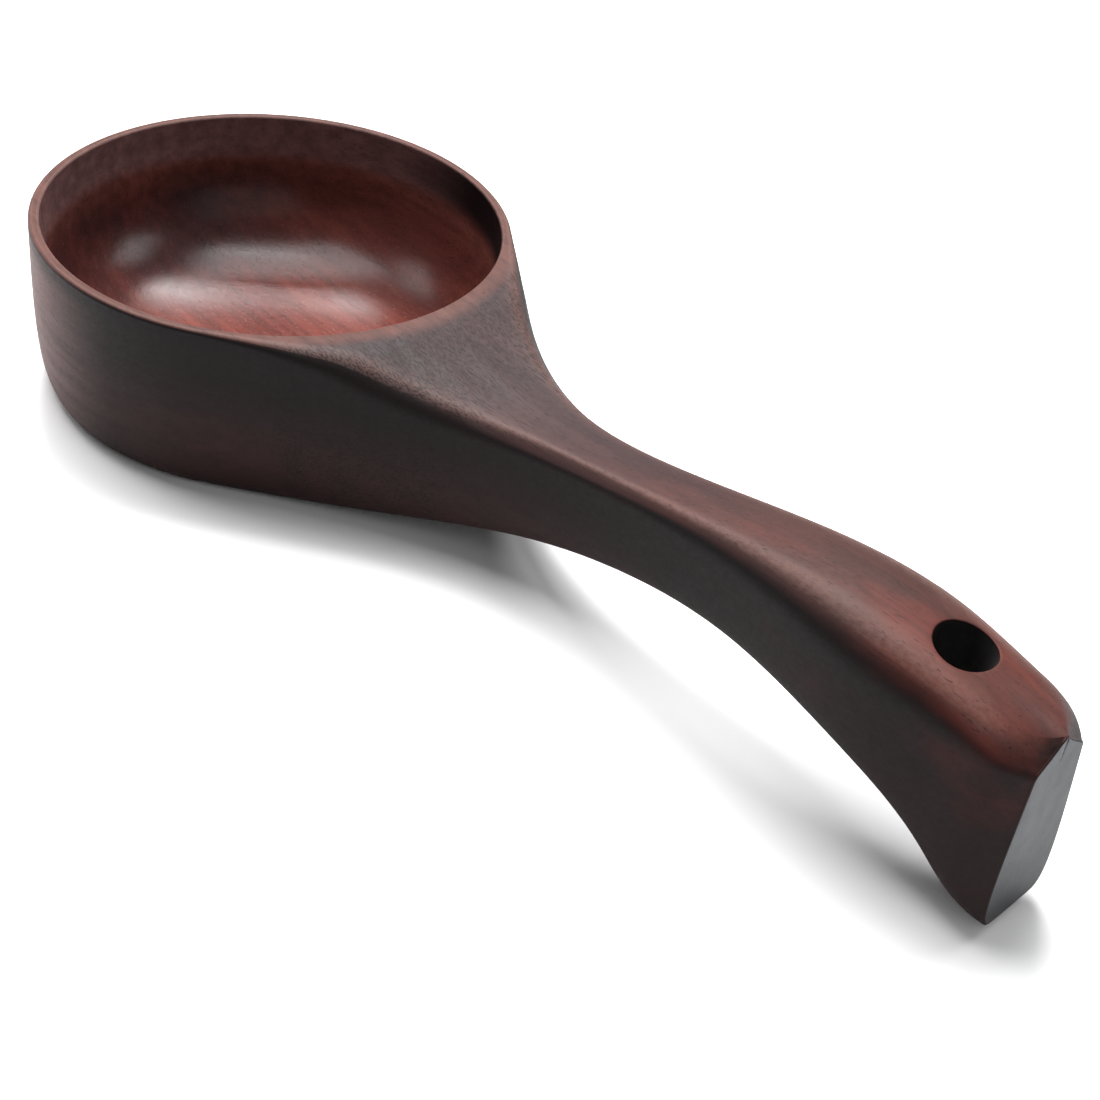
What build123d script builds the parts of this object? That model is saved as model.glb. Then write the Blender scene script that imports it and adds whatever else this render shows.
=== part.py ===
from build123d import *
from math import atan2, cos, degrees, radians, sin
import os

# A ladle carved from one board: a round bowl, a waisted neck and an arched handle
# with a hanging hole. Millimetres. The bowl's axis is Z, the handle runs along +X,
# the bowl stands on z = 0, and the part is symmetric about y = 0.

# Bowl
bowl_inner_radius = 42.0
rim_width = 2.0
rim_height = 33.5
floor_thickness = 5.0
cavity_shoulder_radius = 33.0
cavity_shoulder_height = 11.0
base_corner_radius = 6.0
rim_edge_round = 0.5
bowl_outer_radius = bowl_inner_radius + rim_width

# Handle seen from above: half widths at the neck, the swell, the grip and the flat end
wing_angle = 54.0
neck_start_x = 60.0
neck_start_half_width = 14.2
neck_x = 97.0
neck_half_width = 6.8
swell_x = 122.0
swell_half_width = 9.1
grip_x = 149.0
grip_half_width = 11.6
end_x = 174.0
end_half_width = 5.6
end_taper = -1.1
end_lean = 1.5

# Handle seen from the side: its top dips behind the rim plane and rises to a hump
rim_plane_end_x = 43.5
rim_plane_exit_slope = -0.42
dip_x = 71.0
dip_height = 29.5
hump_x = 142.0
hump_height = 39.3
end_height = 33.9
end_slope = -0.25

# Its underside springs from the bowl's base and comes down to the tip
arch_start_height = 0.8
arch_rise_x = 84.0
arch_rise_height = 11.2
arch_x = 128.0
arch_height = 19.6
arch_fall_x = 160.0
arch_fall_height = 12.0
tip_slope = -1.0

# Cross-sections of the handle:
# (position, bevel of the top edges, crown of the top face, rounding of the underside,
# flare of the sides towards the underside)
sections = [
    (20.0, 0.2, 0.1, 5.0, 0.0),
    (32.0, 0.2, 0.1, 4.8, 0.0),
    (43.5, 0.3, 0.1, 4.5, 0.0),
    (55.0, 1.1, 0.1, 4.5, 0.0),
    (71.0, 1.8, 0.1, 4.5, 0.0),
    (88.0, 1.8, 0.2, 4.5, 0.0),
    (105.0, 1.8, 0.3, 4.5, 0.0),
    (122.0, 2.7, 0.4, 4.5, 0.0),
    (138.0, 3.9, 0.6, 4.5, 0.0),
    (152.0, 3.8, 0.9, 4.2, 0.2),
    (164.0, 3.0, 1.4, 3.8, 1.0),
    (174.0, 2.4, 1.8, 3.5, 2.0),
]

# Hanging hole, square to the handle's sloping top
hole_x = 156.0
hole_radius = 4.8
hole_tilt = 8.0

# Worked out
wing_start_x = bowl_outer_radius * cos(radians(wing_angle))
tip_x = end_x + end_lean
rim_allowance = 0.4
overrun = 4.0
reach = 60.0


def side_line():
    """Half outline of wing, neck, grip and nose seen from above, from the rim to the end."""
    rim_tangent_point = Vector(bowl_outer_radius, 0).rotate(Axis.Z, wing_angle)
    along_rim = Vector(1, 0).rotate(Axis.Z, wing_angle - 90)
    return Spline(
        rim_tangent_point,
        (neck_start_x, neck_start_half_width),
        (neck_x, neck_half_width),
        (swell_x, swell_half_width),
        (grip_x, grip_half_width),
        (end_x, end_half_width),
        tangents=[along_rim, (1, end_taper)],
    )


def top_line():
    """Spine of the handle's top seen from the side, from the rim plane to the end."""
    return Spline(
        (rim_plane_end_x, rim_height),
        (dip_x, dip_height),
        (hump_x, hump_height),
        (end_x, end_height),
        tangents=[(1, rim_plane_exit_slope), (1, end_slope)],
    )


def underside_line():
    """The arch under the handle seen from the side, from the bowl's base to the tip."""
    return Spline(
        (wing_start_x, arch_start_height),
        (arch_rise_x, arch_rise_height),
        (arch_x, arch_height),
        (arch_fall_x, arch_fall_height),
        (tip_x, 0),
        tangents=[(1, 0), (1, tip_slope)],
    )


side = side_line()
top = top_line()
underside = underside_line()


def value_at(curve, x):
    """Height of a curve above the X axis, at a position along it."""
    return curve.intersect(Axis((x, 0), (0, 1)))[0].Y


def handle_size(x):
    """Half width, top and underside of the handle at one position."""
    if x <= wing_start_x:
        half_width = (bowl_outer_radius**2 - x**2) ** 0.5
        return half_width, rim_height + rim_allowance, arch_start_height
    top_height = rim_height + rim_allowance if x <= rim_plane_end_x else value_at(top, x)
    return value_at(side, x), top_height, value_at(underside, x)


def cross_section(x, size, bevel, crown, rounding, flare):
    """One section of the handle: crowned top, two bevels, flared sides, rounded underside."""
    half_width, top_height, low = size
    shoulder = top_height - crown
    inset = rounding * (1 - sin(radians(45)))
    foot = half_width + flare
    near_arc = ThreePointArc(
        (foot - rounding, low),
        (foot - inset, low + inset),
        (foot, low + rounding),
    )
    near_side = Polyline(
        (foot, low + rounding),
        (half_width, shoulder - bevel),
        (half_width - bevel, shoulder),
    )
    half = Line((0, low), (foot - rounding, low)) + near_arc + near_side
    top_arc = ThreePointArc(
        (half_width - bevel, shoulder), (0, top_height), (bevel - half_width, shoulder)
    )
    outline = make_face(half + mirror(half, Plane.YZ) + top_arc)
    return Plane(origin=(x, 0, 0), x_dir=(0, 1, 0), z_dir=(1, 0, 0)) * outline


def handle():
    """The handle as one smooth body, with its flat end sawn off leaning out a little at the foot."""
    faces = [cross_section(section[0], handle_size(section[0]), *section[1:]) for section in sections]
    narrowed = end_half_width + end_taper * overrun / 3
    past_end = (narrowed, end_height + end_slope * overrun, tip_slope * (overrun - end_lean))
    faces.append(cross_section(end_x + overrun, past_end, *sections[-1][1:]))
    block = Box(reach, reach, 3 * reach, align=(Align.MIN, Align.CENTER, Align.CENTER))
    lean_angle = -degrees(atan2(end_lean, end_height))
    return loft(faces) - Pos(tip_x, 0, 0) * Rot(0, lean_angle, 0) * block


def bowl():
    """Outside of the bowl, solid: upright wall, rounded base corner, flat base."""
    wall_foot = (bowl_outer_radius, base_corner_radius)
    base_edge = (bowl_outer_radius - base_corner_radius, 0)
    inset = base_corner_radius * (1 - sin(radians(45)))
    corner = ThreePointArc(wall_foot, (bowl_outer_radius - inset, inset), base_edge)
    wall = Polyline((0, 0), (0, rim_height), (bowl_outer_radius, rim_height), wall_foot)
    base = Line(base_edge, (0, 0))
    return revolve(Plane.XZ * make_face(wall + corner + base), Axis.Z)


def cavity():
    """The hollow of the bowl: broad dished floor, steep wall, lip rounded outwards."""
    floor = (0, floor_thickness)
    shoulder = (cavity_shoulder_radius, cavity_shoulder_height)
    lip_foot = (bowl_inner_radius, rim_height - rim_edge_round)
    lip_top = (bowl_inner_radius + rim_edge_round, rim_height)
    inset = rim_edge_round * (1 - sin(radians(45)))
    dish = Spline(floor, shoulder, lip_foot, tangents=[(1, 0), (0, 1)])
    lip = ThreePointArc(lip_foot, (bowl_inner_radius + inset, rim_height - inset), lip_top)
    above = Polyline(lip_top, (lip_top[0], rim_height + overrun), (0, rim_height + overrun), floor)
    return revolve(Plane.XZ * make_face(dish + lip + above), Axis.Z)


def above_rim_plane():
    """What the plane of the rim removes over the bowl and the wings."""
    block = Box(dip_x + reach, 2 * reach, reach, align=(Align.MAX, Align.CENTER, Align.MIN))
    return Pos(dip_x, 0, rim_height) * block


def below_table():
    """What would reach under the plane that the ladle stands on, at the tip."""
    return Pos(tip_x, 0, 0) * Box(reach, reach, reach, align=(Align.CENTER, Align.CENTER, Align.MAX))


def hanging_hole():
    """The drilled hole, through the handle and square to its top at the hole."""
    centre = (hole_x, 0, value_at(top, hole_x))
    drill = Cylinder(hole_radius, 2 * reach)
    return Pos(*centre) * Rot(0, hole_tilt, 0) * drill


def carved_body():
    """The whole ladle: one piece of wood."""
    blank = bowl() + handle() - above_rim_plane() - below_table()
    return blank - cavity() - hanging_hole()


part = carved_body()
part.label = "carved_body"

os.makedirs("parts", exist_ok=True)
export_step(part, "parts/carved_body.step")
print("volume", round(part.volume), "box", part.bounding_box())
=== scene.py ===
import math

import bmesh
import bpy
import numpy as np
from mathutils import Matrix, Vector


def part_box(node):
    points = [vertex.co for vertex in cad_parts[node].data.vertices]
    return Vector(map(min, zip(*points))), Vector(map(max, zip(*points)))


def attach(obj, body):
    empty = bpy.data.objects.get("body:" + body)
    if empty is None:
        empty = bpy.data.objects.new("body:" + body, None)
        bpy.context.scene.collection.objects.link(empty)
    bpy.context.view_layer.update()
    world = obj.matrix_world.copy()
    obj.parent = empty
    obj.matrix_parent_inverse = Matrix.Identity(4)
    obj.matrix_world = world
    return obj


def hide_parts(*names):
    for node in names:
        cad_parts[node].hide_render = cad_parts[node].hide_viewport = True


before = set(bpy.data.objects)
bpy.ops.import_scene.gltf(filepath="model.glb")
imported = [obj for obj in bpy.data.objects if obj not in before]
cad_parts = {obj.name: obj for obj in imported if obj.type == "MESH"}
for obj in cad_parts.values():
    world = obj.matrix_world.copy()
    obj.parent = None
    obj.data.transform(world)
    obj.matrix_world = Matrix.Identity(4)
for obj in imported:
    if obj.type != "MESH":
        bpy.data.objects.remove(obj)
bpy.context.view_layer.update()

# A ladle carved from one board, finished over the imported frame: metres, bowl's axis on Z,
# handle along +X, standing on z = 0, symmetric about y = 0. The overall sizes are the frame's.
MM = 0.001
low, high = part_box("carved_body")
outer_radius = -low.x
tip_x = high.x
hump_height = high.z

# ---------------------------------------------------------------- sizes
# Bowl
rim_width = 2.0 * MM
rim_height = 33.5 * MM
lip_round = 0.5 * MM
floor_thickness = 5.0 * MM
hollow_fullness = 2.9
inner_radius = outer_radius - rim_width
lip_radius = inner_radius + lip_round

# Half outline seen from above: it leaves the rim along its tangent, narrows to the neck,
# swells to the grip and narrows again to the sawn end. (position, half width)
wing_angle = math.radians(54)
wing_start_x = outer_radius * math.cos(wing_angle)
wing_start_y = outer_radius * math.sin(wing_angle)
wing_slope = -1 / math.tan(wing_angle)
end_lean = 1.5 * MM
end_x = tip_x - end_lean
end_half_width = 5.8 * MM
end_taper = -1.3
half_width_points = [
    (wing_start_x, wing_start_y),
    (60 * MM, 13.9 * MM),
    (77 * MM, 8.1 * MM),
    (97 * MM, 6.8 * MM),
    (122 * MM, 8.9 * MM),
    (149 * MM, 11.6 * MM),
    (164 * MM, 10.3 * MM),
    (end_x, end_half_width),
]

# Side view: the top dips behind the rim plane and rises to a hump. (position, height)
rim_plane_end_x = 42.5 * MM
top_points = [
    (rim_plane_end_x, rim_height),
    (49 * MM, 32.3 * MM),
    (59 * MM, 30.2 * MM),
    (71 * MM, 29.5 * MM),
    (105 * MM, 33.8 * MM),
    (142 * MM, hump_height),
    (end_x, 34.6 * MM),
]
end_slope = -0.3

# Side view: the underside springs from the bowl's flat base and comes down to the tip.
arch_start_x = 22 * MM
underside_points = [
    (arch_start_x, 0),
    (52 * MM, 2.9 * MM),
    (84 * MM, 11.6 * MM),
    (128 * MM, 20.0 * MM),
    (160 * MM, 12.0 * MM),
    (tip_x, 0),
]
tip_slope = -1.0

# Cross-sections, in mm: position, bevel, crown of the top, softness of the upper and the
# lower crease, inset of the underside, flare of the sides, and last their fullness
section_sizes = [
    (wing_start_x / MM, 0.50, 0.0, 0.30, 0.30, 6.6, 0.0, 3.8),
    (36, 1.1, 0.0, 0.7, 0.8, 6.4, 0.0, 3.8),
    (47, 2.5, 0.1, 1.5, 1.8, 5.9, 0.0, 3.9),
    (60, 2.6, 0.1, 1.3, 1.7, 5.2, 0.0, 4.0),
    (80, 2.1, 0.1, 0.60, 0.80, 4.4, 0.0, 4.2),
    (104, 2.0, 0.2, 0.70, 1.00, 4.2, 0.0, 4.4),
    (124, 2.8, 0.4, 1.20, 1.60, 4.4, 0.0, 4.4),
    (142, 3.9, 0.7, 1.90, 2.30, 4.6, 0.1, 4.4),
    (158, 3.6, 1.1, 1.90, 2.20, 4.8, 0.7, 4.2),
    (end_x / MM, 2.5, 1.7, 1.20, 0.80, 3.9, 2.2, 3.8),
]
lean_start_x = 165 * MM
end_edge_round = 0.35 * MM
end_middle_margin = end_half_width * 0.9

# Hanging hole, square to the sloping top, and half the length of the opening in the skin
# that its rings fill
hole_x = 156.0 * MM
hole_radius = 4.8 * MM
hole_tilt = math.radians(8)
hole_edge_round = 0.35 * MM
half_window = 8.6 * MM

# How finely each stretch is divided
BOWL_STATIONS = 88
WING_STATIONS = 44
NECK_STATIONS = 24
HANDLE_STEP = 0.9 * MM
TOP, UPPER_CREASE, BEVEL, LOWER_CREASE, SIDE, UNDERSIDE = 12, 5, 4, 5, 20, 12
LIP_RINGS = 5
HOLLOW_RINGS = 44
HOLE_RINGS = 6
BORE_RINGS = 10
EDGE_RINGS = 4
END_RINGS = 8

# Powers and shares that crowd the points where the surface turns most
SIDE_CROWDING = 1.6
HOLLOW_CROWDING = 1.3
WING_BOTTOM_LAG = 1.4
NECK_TOP_LEAD = 0.45

# Where the ribs reach the end of the wings, and where they stand square to the handle
wing_end_x = 61 * MM
neck_square_x = 78 * MM

# Softboxes: name, azimuth and elevation in degrees, distance, width, height, watts
LIGHTS = [
    ("overhead", 162, 70, 1.3, 1.0, 0.6, 25),
    ("strip_high", 130, 76, 1.3, 0.55, 0.12, 4),
    ("strip_low", 138, 47, 1.3, 0.7, 0.16, 19),
    ("wall_left", 75, 42, 1.3, 0.5, 0.35, 5),
    ("wall_right", 197, 40, 1.3, 0.5, 0.35, 3.5),
    ("front_fill", -20, 42, 1.4, 1.3, 1.0, 4),
]


# ---------------------------------------------------------------- curves
def smooth_curve(points, start_slope=None, end_slope=None):
    """A smooth cubic curve through (position, value) points, as a function of position."""
    x, y = np.array(points, float).T
    h = np.diff(x)
    rise = np.diff(y) / h
    n = len(x)
    matrix = np.eye(n)
    right = np.zeros(n)
    for i in range(1, n - 1):
        matrix[i, i - 1 : i + 2] = [h[i], 2 * (h[i - 1] + h[i]), h[i - 1]]
        right[i] = 3 * (h[i] * rise[i - 1] + h[i - 1] * rise[i])
    right[0] = start_slope if start_slope is not None else rise[0]
    right[-1] = end_slope if end_slope is not None else rise[-1]
    slope = np.linalg.solve(matrix, right)

    def value(at):
        at = np.clip(at, x[0], x[-1])
        i = np.clip(np.searchsorted(x, at) - 1, 0, n - 2)
        t = (at - x[i]) / h[i]
        keep = (1 + 2 * t) * (1 - t) ** 2 * y[i] + t * t * (3 - 2 * t) * y[i + 1]
        bend = h[i] * t * (1 - t) * ((1 - t) * slope[i] - t * slope[i + 1])
        return keep + bend

    return value


half_width = smooth_curve(half_width_points, wing_slope, end_taper)
spine = smooth_curve(top_points, 0, end_slope)
arch = smooth_curve(underside_points, 0, tip_slope)
sections = np.array(section_sizes) * ([MM] * 7 + [1])
sizes = [smooth_curve(np.column_stack([sections[:, 0], sections[:, k]])) for k in range(1, 8)]


def top_height(x):
    """Height of the top's middle line: the rim plane, then the handle's spine."""
    return np.where(x <= rim_plane_end_x, rim_height, np.minimum(spine(x), hump_height))


def bezier(a, b, c, count):
    """Points of a soft corner from a to c, pulled towards b, without its first point."""
    t = np.linspace(0, 1, count + 1)[1:, None]
    return (1 - t) ** 2 * np.array(a) + 2 * t * (1 - t) * np.array(b) + t * t * np.array(c)


def straight(a, b, count):
    """Points of a straight run from a to b, without its first point."""
    t = np.linspace(0, 1, count + 1)[1:, None]
    return (1 - t) * np.array(a) + t * np.array(b)


def lean_out(points):
    """Pushes the foot of the handle's last stretch out along X, so that the sawn end leans."""
    grown = ((points[:, 0] - lean_start_x) / (end_x - lean_start_x)).clip(0, 1) ** 2
    points[:, 0] += grown * end_lean * (1 - points[:, 2] / rim_height)
    return points


# ---------------------------------------------------------------- one rib of the outer skin
def upper_profile(at, depth):
    """Top, bevel and both creases at one position, as (distance in from the outline, drop)."""
    bevel, crown, upper, lower = (size(at) for size in sizes[:4])
    slant = math.sqrt(0.5)
    flat_end = bevel + upper
    reach = np.linspace(depth, flat_end, TOP + 1)
    fall = crown * ((depth - reach) / (depth - bevel)) ** 2
    face = np.column_stack([reach, fall])
    into_bevel = (bevel - upper * slant, crown + upper * slant)
    off_bevel = (lower * slant, crown + bevel - lower * slant)
    side_top = (0, crown + bevel + lower)
    return np.vstack([
        face,
        bezier(face[-1], (bevel, crown), into_bevel, UPPER_CREASE),
        straight(into_bevel, off_bevel, BEVEL),
        bezier(off_bevel, (0, crown + bevel), side_top, LOWER_CREASE),
    ])


def side_profile(at):
    """Side and rounded lower edge, as (distance in from the outline, share of the height)."""
    inset, flare, fullness = (size(at) for size in sizes[4:])
    turn = math.pi / 2 * np.linspace(0, 1, SIDE + 1)[1:] ** SIDE_CROWDING
    share = 1 - np.sin(turn) ** (2 / fullness)
    inward = inset * (1 - np.cos(turn).clip(0) ** (2 / fullness)) - flare * (1 - share)
    return np.column_stack([inward, share])


def rib(inner, outer, bottom, inward):
    """The skin from the inner point over the top, down the side and in to the bottom point."""
    at = max(outer[0], wing_start_x)
    depth = float(np.dot(inner - outer, inward))
    upper = upper_profile(at, depth)
    plan = outer + np.outer(upper[:, 0] / depth, inner - outer)
    points = [np.column_stack([plan, top_height(plan[:, 0]) - upper[:, 1]])]
    side = side_profile(at)
    to_bottom = float(np.dot(bottom - outer, inward))
    plan = outer + np.outer(side[:, 0] / to_bottom, bottom - outer)
    side_height = points[0][-1, 2] - arch(outer[0])
    points.append(np.column_stack([plan, arch(plan[:, 0]) + side_height * side[:, 1]]))
    plan = straight(plan[-1], bottom, UNDERSIDE)
    points.append(np.column_stack([plan, arch(plan[:, 0])]))
    return lean_out(np.vstack(points))


def outline_inward(x):
    """Unit vector square to the outline at x, pointing into the handle."""
    step = 0.05 * MM
    slope = (half_width(x + step) - half_width(x - step)) / (2 * step)
    return np.array([slope, -1]) / math.hypot(slope, 1)


def bowl_rib(angle):
    """A rib from the lip out and down to the middle of the base, at an angle about Z."""
    direction = np.array([math.cos(angle), math.sin(angle)])
    return rib(lip_radius * direction, outer_radius * direction, np.zeros(2), -direction)


def handle_rib(inner, outer_x, bottom_x):
    """A rib from an inner point to the outline at outer_x and in to the middle at bottom_x."""
    outer = np.array([outer_x, float(half_width(outer_x))])
    return rib(np.array(inner), outer, np.array([bottom_x, 0.0]), outline_inward(outer_x))


def outer_skin():
    """Ribs of one half, from the bowl's front to the sawn end, and the angles round the lip."""
    bowl_angles = np.linspace(math.pi, wing_angle, BOWL_STATIONS + 1)[:-1]
    ribs = [bowl_rib(angle) for angle in bowl_angles]
    wing_shares = np.linspace(0, 1, WING_STATIONS + 1)
    wing_angles = wing_angle * (1 - wing_shares)
    for share, angle in zip(wing_shares, wing_angles):
        outer_x = wing_start_x + (wing_end_x - wing_start_x) * share
        inner = (lip_radius * math.cos(angle), lip_radius * math.sin(angle))
        ribs.append(handle_rib(inner, outer_x, wing_end_x * share ** WING_BOTTOM_LAG))
    for share in np.linspace(0, 1, NECK_STATIONS + 1)[1:]:
        outer_x = wing_end_x + (neck_square_x - wing_end_x) * share
        ahead = share + share * (1 - share) * NECK_TOP_LEAD
        inner_x = lip_radius + (neck_square_x - lip_radius) * ahead
        ribs.append(handle_rib((inner_x, 0), outer_x, outer_x))
    last = end_x - end_edge_round
    count = round((last - neck_square_x) / HANDLE_STEP)
    for x in np.linspace(neck_square_x, last, count + 1)[1:]:
        ribs.append(handle_rib((x, 0), x, x))
    return np.array(ribs), np.concatenate([bowl_angles, wing_angles])


# ---------------------------------------------------------------- the other surfaces
def hollow(angles):
    """Inside of the bowl for the given angles: rounded lip, steep wall, broad dished floor."""
    quarter = np.linspace(0, math.pi / 2, LIP_RINGS + 1)
    radius = [inner_radius + lip_round * (1 - math.sin(t)) for t in quarter]
    height = [rim_height - lip_round * (1 - math.cos(t)) for t in quarter]
    depth = rim_height - lip_round - floor_thickness
    for t in math.pi / 2 * np.linspace(1, 0, HOLLOW_RINGS + 1)[1:] ** HOLLOW_CROWDING:
        radius.append(inner_radius * math.sin(t) ** (2 / hollow_fullness))
        height.append(floor_thickness + depth * (1 - math.cos(t) ** (2 / hollow_fullness)))
    r, z = np.array(radius), np.array(height)
    return np.array([np.column_stack([r * math.cos(a), r * math.sin(a), z]) for a in angles])


def sawn_end(last_rib):
    """Eased edge and flat face of the end, closing the last rib."""
    along = np.gradient(last_rib[:, 1:], axis=0)
    outward = np.column_stack([-along[:, 1], along[:, 0]])
    outward /= np.linalg.norm(outward, axis=1)[:, None]
    outward[[0, -1], 0] = 0
    rows = []
    for t in np.linspace(0, math.pi / 2, EDGE_RINGS + 1):
        row = last_rib.copy()
        row[:, 1:] -= outward * end_edge_round * (1 - math.cos(t))
        row[:, 0] += end_edge_round * math.sin(t)
        row[[0, -1], 1] = 0
        rows.append(row)
    edge = rows[-1]
    middle = edge.copy()
    middle[:, 1] = 0
    middle[:, 2] = np.clip(edge[:, 2], edge[-1, 2] + end_middle_margin, edge[0, 2] - end_middle_margin)
    lean = (edge[-1, 0] - edge[0, 0]) / (edge[0, 2] - edge[-1, 2])
    middle[:, 0] = edge[0, 0] + lean * (edge[0, 2] - middle[:, 2])
    face = [edge + (middle - edge) * t for t in np.linspace(0, 1, END_RINGS + 1)]
    return np.array(rows), np.array(face)


def surface_top(x, y):
    """Height of the handle's top at any point near the hole."""
    width = float(half_width(x))
    depth = -width * outline_inward(x)[1]
    profile = upper_profile(x, depth)[::-1]
    reach = depth * (1 - abs(y) / width)
    return float(top_height(x)) - np.interp(reach, profile[:, 0], profile[:, 1])


def surface_under(x, y):
    """Height of the underside near the hole, straight across: the same for every y."""
    return float(arch(x))


hole_axis = np.array([math.sin(hole_tilt), 0, math.cos(hole_tilt)])
hole_side = np.array([math.cos(hole_tilt), 0, -math.sin(hole_tilt)])
hole_centre = np.array([hole_x, 0, float(top_height(hole_x))])


def on_hole(angle, radius, surface):
    """Point where a line along the hole, at this angle and radius, meets a surface."""
    across = np.array([0, math.sin(angle), 0]) + math.cos(angle) * hole_side
    point = hole_centre + radius * across
    settling_steps = 12
    for _ in range(settling_steps):
        point = point + hole_axis * (surface(point[0], point[1]) - point[2]) / hole_axis[2]
    return point


def hole_rings(border, surface, sense):
    """From a border of the skin to the hole's edge and over it, one half of the way round."""
    centre = on_hole(0, 0, surface)
    angles = [math.atan2(p[1], p[0] - centre[0]) for p in border]
    edge_radius = hole_radius + hole_edge_round
    edge = [on_hole(a, edge_radius, surface) for a in angles]
    rings = [np.array(border)]
    for t in np.linspace(0, 1, HOLE_RINGS + 1)[1:-1]:
        ring = []
        for start, stop in zip(border, edge):
            x, y = (start + (stop - start) * t)[:2]
            ring.append((x, y, surface(x, y)))
        rings.append(np.array(ring))
    rings.append(np.array(edge))
    for t in np.linspace(0, math.pi / 2, EDGE_RINGS + 1)[1:]:
        radius = hole_radius + hole_edge_round * (1 - math.sin(t))
        sunk = hole_edge_round * (1 - math.cos(t)) * sense
        rings.append(np.array([on_hole(a, radius, surface) - hole_axis * sunk for a in angles]))
    return rings


# ---------------------------------------------------------------- mesh
STAINED_WOOD, END_GRAIN, BORE_WALL = 0, 1, 2


class Skin:
    """Collects grids of points as quads, with a material and an edge value for each: wear, partly a
    painted highlight.
    """

    def __init__(self):
        self.points, self.faces, self.materials, self.wear_and_highlight = [], [], [], []

    def grid(self, rows, material=STAINED_WOOD, wear_and_highlight=0.0, skip=()):
        rows = np.asarray(rows)
        count, width = rows.shape[:2]
        first = len(self.points)
        self.points.extend(rows.reshape(-1, 3).tolist())
        self.wear_and_highlight.extend(np.broadcast_to(wear_and_highlight, (count, width)).ravel())
        for i in range(count - 1):
            for j in range(width - 1):
                if (i, j) not in skip:
                    a = first + i * width + j
                    self.faces.append((a, a + 1, a + width + 1, a + width))
                    self.materials.append(material)

    def mirrored(self):
        """Adds the other half, y turned over."""
        count = len(self.points)
        self.points.extend([(x, -y, z) for x, y, z in self.points])
        self.faces.extend([tuple(count + k for k in reversed(f)) for f in self.faces])
        self.materials.extend(self.materials[:])
        self.wear_and_highlight.extend(self.wear_and_highlight[:])


def cut_window(ribs, centre_x, lines):
    """Border points and cells of the opening in the skin that the hole's rings fill."""
    xs = ribs[:, 0, 0]
    middle = int(np.argmin(np.abs(xs - centre_x)))
    reach = round(half_window / HANDLE_STEP)
    first, last = middle - reach, middle + reach
    near = [ribs[first][k] for k in lines]
    along = [ribs[s][lines[-1]] for s in range(first + 1, last)]
    back = [ribs[last][k] for k in reversed(lines)]
    cells = {(s, min(a, b)) for s in range(first, last) for a, b in zip(lines, lines[1:])}
    return near + along + back, cells


def wear_and_highlight_along_rib():
    """Edge wear and painted highlight of each point of a rib: most on the upper crease of the bevel."""
    count = TOP + 1 + UPPER_CREASE + BEVEL + LOWER_CREASE + SIDE + UNDERSIDE
    crease_middle = TOP + UPPER_CREASE / 2
    spread = 3.0
    return np.exp(-(((np.arange(count) - crease_middle) / spread) ** 2))


def wear_and_highlight_round_window(wear_and_highlight, count):
    """Edge wear and painted highlight of the border of the top's opening, faded out towards the hole."""
    border = np.full(count, wear_and_highlight[TOP])
    border[: TOP + 1] = wear_and_highlight[: TOP + 1]
    border[-TOP - 1 :] = wear_and_highlight[TOP::-1]
    fade = np.concatenate([np.linspace(1, 0, HOLE_RINGS + 1), np.zeros(EDGE_RINGS)])
    return np.outer(fade, border)


def wear_and_highlight_over_lip(count):
    """Edge wear and painted highlight from the lip down into the hollow: only on the rounding of the
    lip.
    """
    wear_and_highlight = np.zeros(count)
    wear_and_highlight[1:LIP_RINGS] = 0.8
    return wear_and_highlight


def carved_mesh():
    """The whole ladle: outer skin with its two openings, hollow, hole and sawn end."""
    skin = Skin()
    ribs, angles = outer_skin()
    width = ribs.shape[1]
    top_lines = list(range(0, TOP + 1))
    under_lines = list(range(width - 1, width - 2 - TOP, -1))
    under_x = on_hole(0, 0, surface_under)[0]
    top_border, top_cells = cut_window(ribs, hole_x, top_lines)
    under_border, under_cells = cut_window(ribs, under_x, under_lines)
    wear_and_highlight = wear_and_highlight_along_rib()
    skin.grid(ribs, wear_and_highlight=wear_and_highlight, skip=top_cells | under_cells)
    inside = hollow(angles)
    skin.grid(inside, wear_and_highlight=wear_and_highlight_over_lip(inside.shape[1]))
    top_rings = hole_rings(top_border, surface_top, 1)
    under_rings = hole_rings(under_border, surface_under, -1)
    skin.grid(top_rings, wear_and_highlight=wear_and_highlight_round_window(wear_and_highlight, len(top_border)))
    skin.grid(under_rings)
    bore_shares = np.linspace(0, 1, BORE_RINGS + 1)
    bore = [top_rings[-1] + (under_rings[-1] - top_rings[-1]) * t for t in bore_shares]
    skin.grid(bore, material=BORE_WALL)
    edge, face = sawn_end(ribs[-1])
    skin.grid(edge)
    skin.grid(face, material=END_GRAIN)
    skin.mirrored()
    return skin


def build_piece(name, skin, materials):
    """One Blender object from the skin, its grids welded and shaded smooth."""
    weld_distance = 0.002 * MM
    mesh = bpy.data.meshes.new(name)
    mesh.from_pydata(skin.points, [], skin.faces)
    # Edge wear, partly a painted highlight.
    wear_and_highlight = mesh.attributes.new("edge_wear_and_highlight", "FLOAT", "POINT")
    wear_and_highlight.data.foreach_set("value", np.array(skin.wear_and_highlight, np.float32))
    mesh.polygons.foreach_set("material_index", skin.materials)
    bm = bmesh.new()
    bm.from_mesh(mesh)
    bmesh.ops.remove_doubles(bm, verts=bm.verts, dist=weld_distance)
    bmesh.ops.recalc_face_normals(bm, faces=bm.faces)
    for face in bm.faces:
        face.smooth = True
    bm.to_mesh(mesh)
    bm.free()
    for material in materials:
        mesh.materials.append(material)
    piece = bpy.data.objects.new(name, mesh)
    bpy.context.scene.collection.objects.link(piece)
    even = piece.modifiers.new("even_shading", "WEIGHTED_NORMAL")
    even.keep_sharp = True
    return piece


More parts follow.
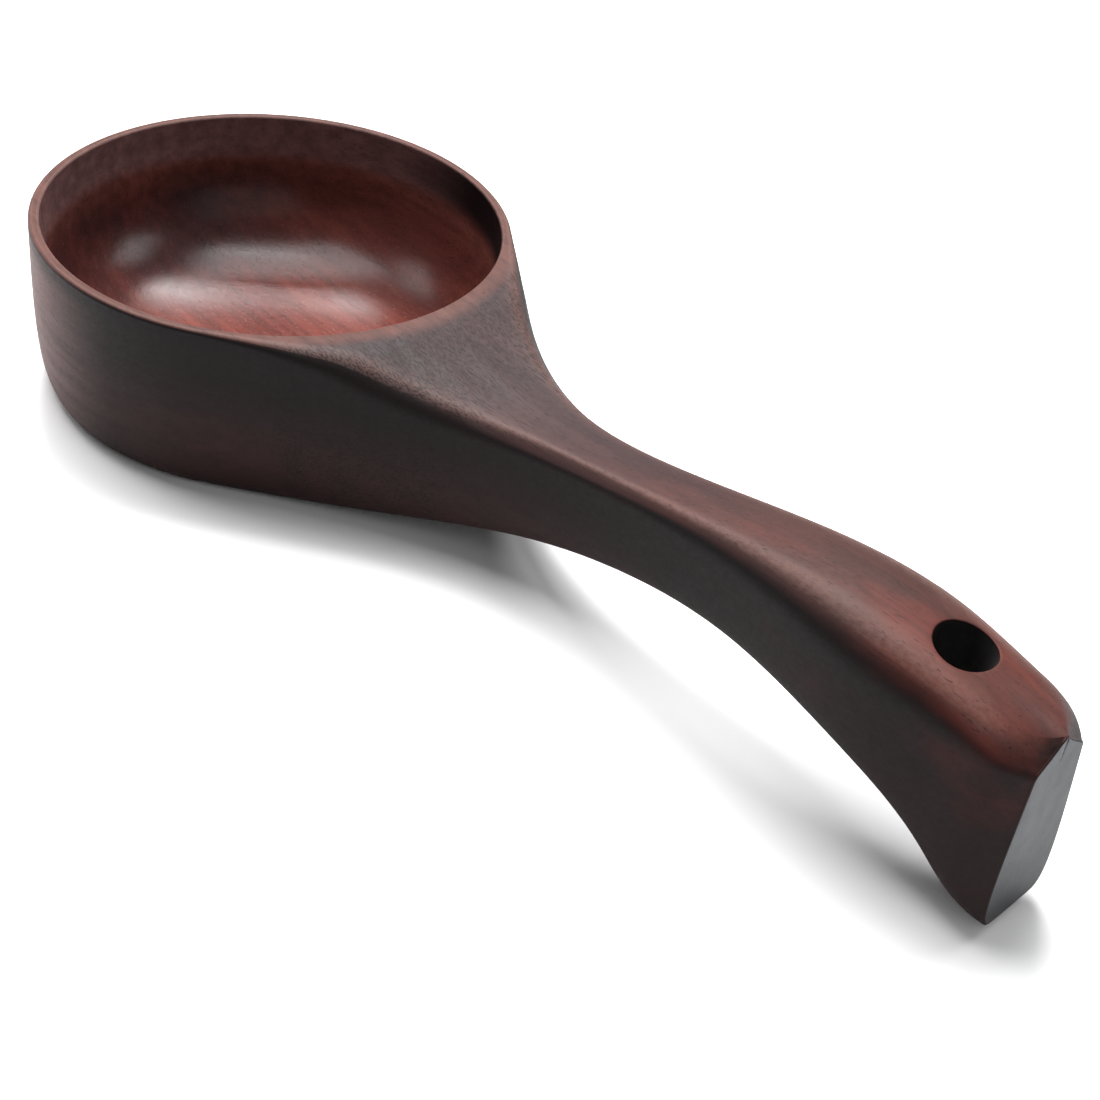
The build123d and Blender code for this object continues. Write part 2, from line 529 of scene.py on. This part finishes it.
# ---------------------------------------------------------------- materials
class Nodes:
    """Short calls for a node tree."""

    def __init__(self, name):
        self.material = bpy.data.materials.new(name)
        self.material.use_nodes = True
        self.tree = self.material.node_tree
        self.shader = self.tree.nodes["Principled BSDF"]
        self.place = self.add("ShaderNodeTexCoord")

    def add(self, kind, **settings):
        node = self.tree.nodes.new(kind)
        for key, value in settings.items():
            setattr(node, key, value)
        return node

    def join(self, source, target):
        self.tree.links.new(source, target)

    def parts(self, output):
        """The x, y and z of a texture coordinate: Object for the place, Normal for the facing."""
        split = self.add("ShaderNodeSeparateXYZ")
        self.join(self.place.outputs[output], split.inputs[0])
        return split.outputs

    def math(self, operation, a, b=0.0):
        node = self.add("ShaderNodeMath", operation=operation)
        for socket, value in zip(node.inputs, (a, b)):
            if isinstance(value, (int, float)):
                socket.default_value = value
            else:
                self.join(value, socket)
        return node.outputs[0]

    def times(self, a, b):
        return self.math("MULTIPLY", a, b)

    def step(self, value, start, stop, low=0.0, high=1.0):
        """Smooth change from low to high as the value goes from start to stop."""
        node = self.add("ShaderNodeMapRange", interpolation_type="SMOOTHSTEP")
        self.join(value, node.inputs["Value"])
        for name, number in zip(("From Min", "From Max", "To Min", "To Max"), (start, stop, low, high)):
            node.inputs[name].default_value = number
        return node.outputs[0]

    def noise(self, scale, stretch=(1, 1, 1), detail=4.0, rough=0.55, offset=(0, 0, 0)):
        mapping = self.add("ShaderNodeMapping")
        mapping.inputs["Scale"].default_value = stretch
        mapping.inputs["Location"].default_value = offset
        self.join(self.place.outputs["Object"], mapping.inputs["Vector"])
        node = self.add("ShaderNodeTexNoise")
        node.inputs["Scale"].default_value = scale
        node.inputs["Detail"].default_value = detail
        node.inputs["Roughness"].default_value = rough
        self.join(mapping.outputs[0], node.inputs["Vector"])
        return node.outputs["Fac"]

    def mix(self, share, a, b):
        """Colour a where share is 0, colour b where it is 1."""
        node = self.add("ShaderNodeMix", data_type="RGBA")
        factor, colour_a, colour_b = (node.inputs[k] for k in (0, 6, 7))
        for socket, value in zip((factor, colour_a, colour_b), (share, a, b)):
            if isinstance(value, tuple):
                socket.default_value = (*value, 1)
            elif isinstance(value, (int, float)):
                socket.default_value = value
            else:
                self.join(value, socket)
        return node.outputs[2]

    def bump(self, height, strength, distance):
        node = self.add("ShaderNodeBump")
        node.inputs["Strength"].default_value = strength
        node.inputs["Distance"].default_value = distance
        self.join(height, node.inputs["Height"])
        self.join(node.outputs[0], self.shader.inputs["Normal"])


def shade(red, green, blue):
    """A screen colour, 0 to 255, as the linear colour that nodes take."""
    values = [c / 255 for c in (red, green, blue)]
    return tuple(v / 12.92 if v <= 0.04045 else ((v + 0.055) / 1.055) ** 2.4 for v in values)


class StainedWood(Nodes):
    """The parts of the wood's look. A share is 0 to 1, and -Y is the side nearest the camera."""

    def __init__(self):
        super().__init__("stained_wood")
        self.x, self.y, self.z = self.parts("Object")
        self.facing_up = self.parts("Normal")[2]
        squares = self.math("ADD", self.times(self.x, self.x), self.times(self.y, self.y))
        self.radius = self.math("SQRT", squares)
        self.clouds = self.noise(30, (0.35, 1, 1), 5)
        self.streaks = self.noise(420, (0.05, 1, 1), 6, 0.6)
        self.pores = self.noise(3600, (0.12, 1, 1), 2, 0.5)
        self.mottle = self.noise(1500, (0.6, 1, 1), 3, 0.6)
        self.patches = self.step(self.clouds, 0.38, 0.62)
        off_rim = self.step(self.radius, 44.5 * MM, 47.0 * MM)
        self.wing = self.times(off_rim, self.step(self.x, 52 * MM, 82 * MM, 1, 0))

    def top_colour_painted_light(self):
        """Red-brown, redder along the grip, greyed on the wings and paler on the rim; lighter than the
        sides partly as painted light from above.
        """
        neck = self.mix(self.patches, shade(48, 33, 34), shade(66, 40, 38))
        grip = self.mix(self.patches, shade(60, 32, 27), shade(88, 44, 34))
        colour = self.mix(self.step(self.x, 85 * MM, 130 * MM), neck, grip)
        colour = self.mix(self.step(self.x, 160 * MM, 173 * MM, 0, 0.7), colour, shade(74, 52, 50))
        streaked = self.step(self.streaks, 0.3, 0.65, 0.3, 1)
        nearer = self.step(self.y, -22 * MM, 12 * MM, 1, 0.4)
        greyed = self.times(self.wing, self.times(streaked, nearer))
        colour = self.mix(greyed, colour, shade(56, 50, 50))
        off_hollow = self.step(self.radius, 41.4 * MM, 41.9 * MM)
        rim = self.times(self.step(self.radius, 43.5 * MM, 46.5 * MM, 1, 0), off_hollow)
        return self.mix(self.times(rim, 0.9), colour, shade(90, 56, 49))

    def side_colour_painted_shade_and_sheen(self):
        """Near black, a little redder low down, and paler round the front of the bowl. The near black is
        partly painted shade, and the paler front is a painted sheen.
        """
        colour = self.mix(self.patches, shade(30, 18, 19), shade(46, 27, 26))
        colour = self.mix(self.step(self.z, 10 * MM, 26 * MM, 0, 0.9), colour, shade(14, 10, 12))
        colour = self.mix(self.step(self.x, 110 * MM, 150 * MM, 0, 0.7), colour, shade(24, 11, 11))
        # Painted sheen: the front of the bowl's outer wall is painted paler in place of a reflection.
        return self.mix(self.step(self.x, -22 * MM, 12 * MM, 0.95, 0), colour, shade(122, 92, 90))

    def hollow_painted_light_and_shade(self):
        """Bright red floor, darker wall, paler again towards the lip: the darker wall is painted shade
        and the paler lip is painted light.
        """
        clouds = self.step(self.clouds, 0.35, 0.65)
        lit_floor_red = self.mix(clouds, shade(90, 44, 38), shade(116, 54, 43))
        shaded_wall_red = self.mix(clouds, shade(50, 28, 28), shade(78, 38, 33))
        # Painted shade: the wall darker than the floor.
        colour = self.mix(self.step(self.z, 5.5 * MM, 10 * MM), lit_floor_red, shaded_wall_red)
        # Painted light: paler towards the lip.
        return self.mix(self.step(self.z, 18 * MM, 33 * MM), colour, shade(140, 84, 74))

    def inside_share(self):
        """Where the surface is the hollow of the bowl."""
        within = self.step(self.radius, 41.4 * MM, 41.9 * MM, 1, 0)
        return self.times(within, self.step(self.z, 3.5 * MM, 4.5 * MM))

    def ember_share(self):
        """Where a brighter red shows through: patches on the upper part of the grip."""
        patches = self.step(self.noise(70, (0.45, 1, 1), 3, 0.5, (0.3, 0, 0)), 0.46, 0.66, 0, 0.5)
        on_grip = self.step(self.x, 112 * MM, 140 * MM)
        upward = self.step(self.facing_up, 0.1, 0.5, 0.4, 1)
        high_up = self.step(self.z, 18 * MM, 26 * MM)
        return self.times(self.times(patches, on_grip), self.times(upward, high_up))

    def under_rim_painted_shade(self):
        """Painted shade: the dark band round the outer wall, just under the rim."""
        high_up = self.step(self.z, 29 * MM, 32.5 * MM)
        outside = self.step(self.radius, 43.4 * MM, 43.8 * MM)
        upright = self.step(self.facing_up, 0.35, 0.8, 0.75, 0)
        return self.times(self.times(high_up, outside), upright)

    def worn_and_highlight_share(self):
        """Where the edges are painted lighter, less towards the sawn end: partly stain rubbed off,
        partly a painted highlight on the creases.
        """
        wear_and_highlight = self.add("ShaderNodeAttribute", attribute_name="edge_wear_and_highlight")
        rubbed_and_highlit = self.times(wear_and_highlight.outputs["Fac"], self.step(self.mottle, 0.3, 0.7, 0.25, 0.5))
        return self.times(rubbed_and_highlit, self.step(self.x, 160 * MM, 170 * MM, 1, 0.25))

    def pore_share(self):
        """1 in a dark pore, else 0. There are more where the grain of the wings is torn."""
        torn = self.times(self.wing, self.step(self.x, 28 * MM, 36 * MM))
        return self.math("LESS_THAN", self.pores, self.step(torn, 0, 1, 0.34, 0.47))


def stained_wood():
    """Dark red-brown stain: redder on the top faces and near black on the sides, partly painted light
    from above and painted shade; lighter at the edges, partly wear and partly a painted highlight.
    """
    n = StainedWood()
    inside = n.inside_share()
    pore = n.pore_share()
    # Painted light: tops against sides by facing, partly the stain, partly light from above painted on.
    colour = n.mix(n.step(n.facing_up, 0.5, 0.93), n.side_colour_painted_shade_and_sheen(), n.top_colour_painted_light())
    colour = n.mix(n.ember_share(), colour, shade(104, 42, 31))
    colour = n.mix(inside, colour, n.hollow_painted_light_and_shade())
    colour = n.mix(n.step(n.streaks, 0.3, 0.7, 0.4, 0), colour, shade(22, 12, 12))
    # Painted shade under the rim's outer edge.
    colour = n.mix(n.under_rim_painted_shade(), colour, shade(12, 8, 9))
    # Lighter edges: partly wear, partly a painted highlight on the creases and the lip.
    colour = n.mix(n.worn_and_highlight_share(), colour, shade(112, 86, 80))
    colour = n.mix(n.times(pore, 0.55), colour, shade(18, 12, 13))
    n.join(colour, n.shader.inputs["Base Color"])
    rough = n.math("ADD", n.step(n.mottle, 0.3, 0.7, 0.0, 0.08), n.step(inside, 0, 1, 0.52, 0.2))
    n.join(rough, n.shader.inputs["Roughness"])
    relief = n.math("ADD", n.times(n.mottle, 0.5), n.times(n.streaks, 0.5))
    n.bump(n.math("SUBTRACT", relief, n.times(pore, 0.35)), 0.35, 0.1 * MM)
    n.shader.inputs["Specular IOR Level"].default_value = 0.13
    return n.material


def sawn_end_grain():
    """The flat end: sanded end grain, blue-grey, darker low down, with small dark pores."""
    n = Nodes("sawn_end_grain")
    cloud = n.noise(160, (1, 1, 0.6), 4)
    pores = n.noise(2600, (1, 1, 0.7), 1, 0.4)
    height = n.parts("Object")[2]
    colour = n.mix(n.step(cloud, 0.3, 0.7), shade(62, 65, 69), shade(82, 85, 89))
    colour = n.mix(n.step(height, 0, 22 * MM, 0.75, 0), colour, shade(30, 28, 30))
    colour = n.mix(n.step(pores, 0.24, 0.3, 0.8, 0), colour, shade(26, 24, 25))
    n.join(colour, n.shader.inputs["Base Color"])
    n.shader.inputs["Roughness"].default_value = 0.5
    n.shader.inputs["Specular IOR Level"].default_value = 0.15
    n.bump(n.math("ADD", n.times(cloud, 0.3), pores), 0.3, 0.1 * MM)
    return n.material


def bore_wall():
    """Inside of the hanging hole: stained wood, almost black."""
    n = Nodes("bore_wall")
    rings = n.noise(900, (1, 1, 0.15), 4)
    colour = n.mix(n.step(rings, 0.3, 0.7), shade(8, 6, 6), shade(22, 15, 15))
    n.join(colour, n.shader.inputs["Base Color"])
    n.shader.inputs["Roughness"].default_value = 0.7
    n.bump(rings, 0.3, 0.1 * MM)
    return n.material


def pale_floor():
    """Plain matt floor, almost white."""
    n = Nodes("pale_floor")
    n.shader.inputs["Base Color"].default_value = (0.86, 0.86, 0.86, 1)
    n.shader.inputs["Roughness"].default_value = 0.9
    n.shader.inputs["Specular IOR Level"].default_value = 0.1
    return n.material


# ---------------------------------------------------------------- studio
def floor():
    """A wide plane at z = 0, kept out of the exported object."""
    reach = 6.0
    mesh = bpy.data.meshes.new("floor")
    corners = [(-reach, -reach, 0), (reach, -reach, 0), (reach, reach, 0), (-reach, reach, 0)]
    mesh.from_pydata(corners, [], [(0, 1, 2, 3)])
    mesh.materials.append(pale_floor())
    plane = bpy.data.objects.new("floor", mesh)
    bpy.context.scene.collection.objects.link(plane)


def softbox(name, azimuth, elevation, distance, width, height, watts):
    """A flat soft light aimed just behind the bowl. Azimuth is from +X towards +Y, in degrees."""
    a, e = math.radians(azimuth), math.radians(elevation)
    direction = Vector((math.cos(a) * math.cos(e), math.sin(a) * math.cos(e), math.sin(e)))
    data = bpy.data.lights.new(name, "AREA")
    data.shape = "RECTANGLE"
    data.size, data.size_y = width, height
    data.energy = watts
    light = bpy.data.objects.new(name, data)
    aim = Vector((0.06, 0, 0.02))
    light.location = aim + direction * distance
    light.rotation_mode = "QUATERNION"
    light.rotation_quaternion = direction.to_track_quat("Z", "Y")
    bpy.context.scene.collection.objects.link(light)


def studio():
    """Faint even world light and the softboxes."""
    world = bpy.data.worlds.new("studio")
    world.use_nodes = True
    background = world.node_tree.nodes["Background"]
    background.inputs["Color"].default_value = (0.96, 0.98, 1, 1)
    background.inputs["Strength"].default_value = 0.12
    bpy.context.scene.world = world
    bpy.context.scene.view_settings.view_transform = "Standard"
    for light in LIGHTS:
        softbox(*light)


def camera():
    """Main viewpoint: above the near side of the handle's end, turned to the bowl, tipped sideways."""
    place = (0.2389, -0.1851, 0.1922)
    heading = math.radians(-40.94)
    down = math.radians(37.35)
    lean = math.radians(8.42)
    level_share = math.cos(down)
    forward = Vector((level_share * math.sin(heading), level_share * math.cos(heading), -math.sin(down)))
    level = Vector((math.cos(heading), -math.sin(heading), 0))
    upright = level.cross(forward)
    right = math.cos(lean) * level + math.sin(lean) * upright
    above = math.cos(lean) * upright - math.sin(lean) * level
    data = bpy.data.cameras.new("camera")
    data.sensor_width = 36
    data.lens = 58.9
    data.clip_start = 0.01
    view = bpy.data.objects.new("camera", data)
    turn = Matrix((right, above, -forward)).transposed()
    view.rotation_mode = "QUATERNION"
    view.rotation_quaternion = turn.to_quaternion()
    view.location = place
    bpy.context.scene.collection.objects.link(view)
    bpy.context.scene.camera = view


camera()
studio()
floor()
materials = [stained_wood(), sawn_end_grain(), bore_wall()]
ladle = build_piece("carved_ladle", carved_mesh(), materials)
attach(ladle, "root")
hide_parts("carved_body")
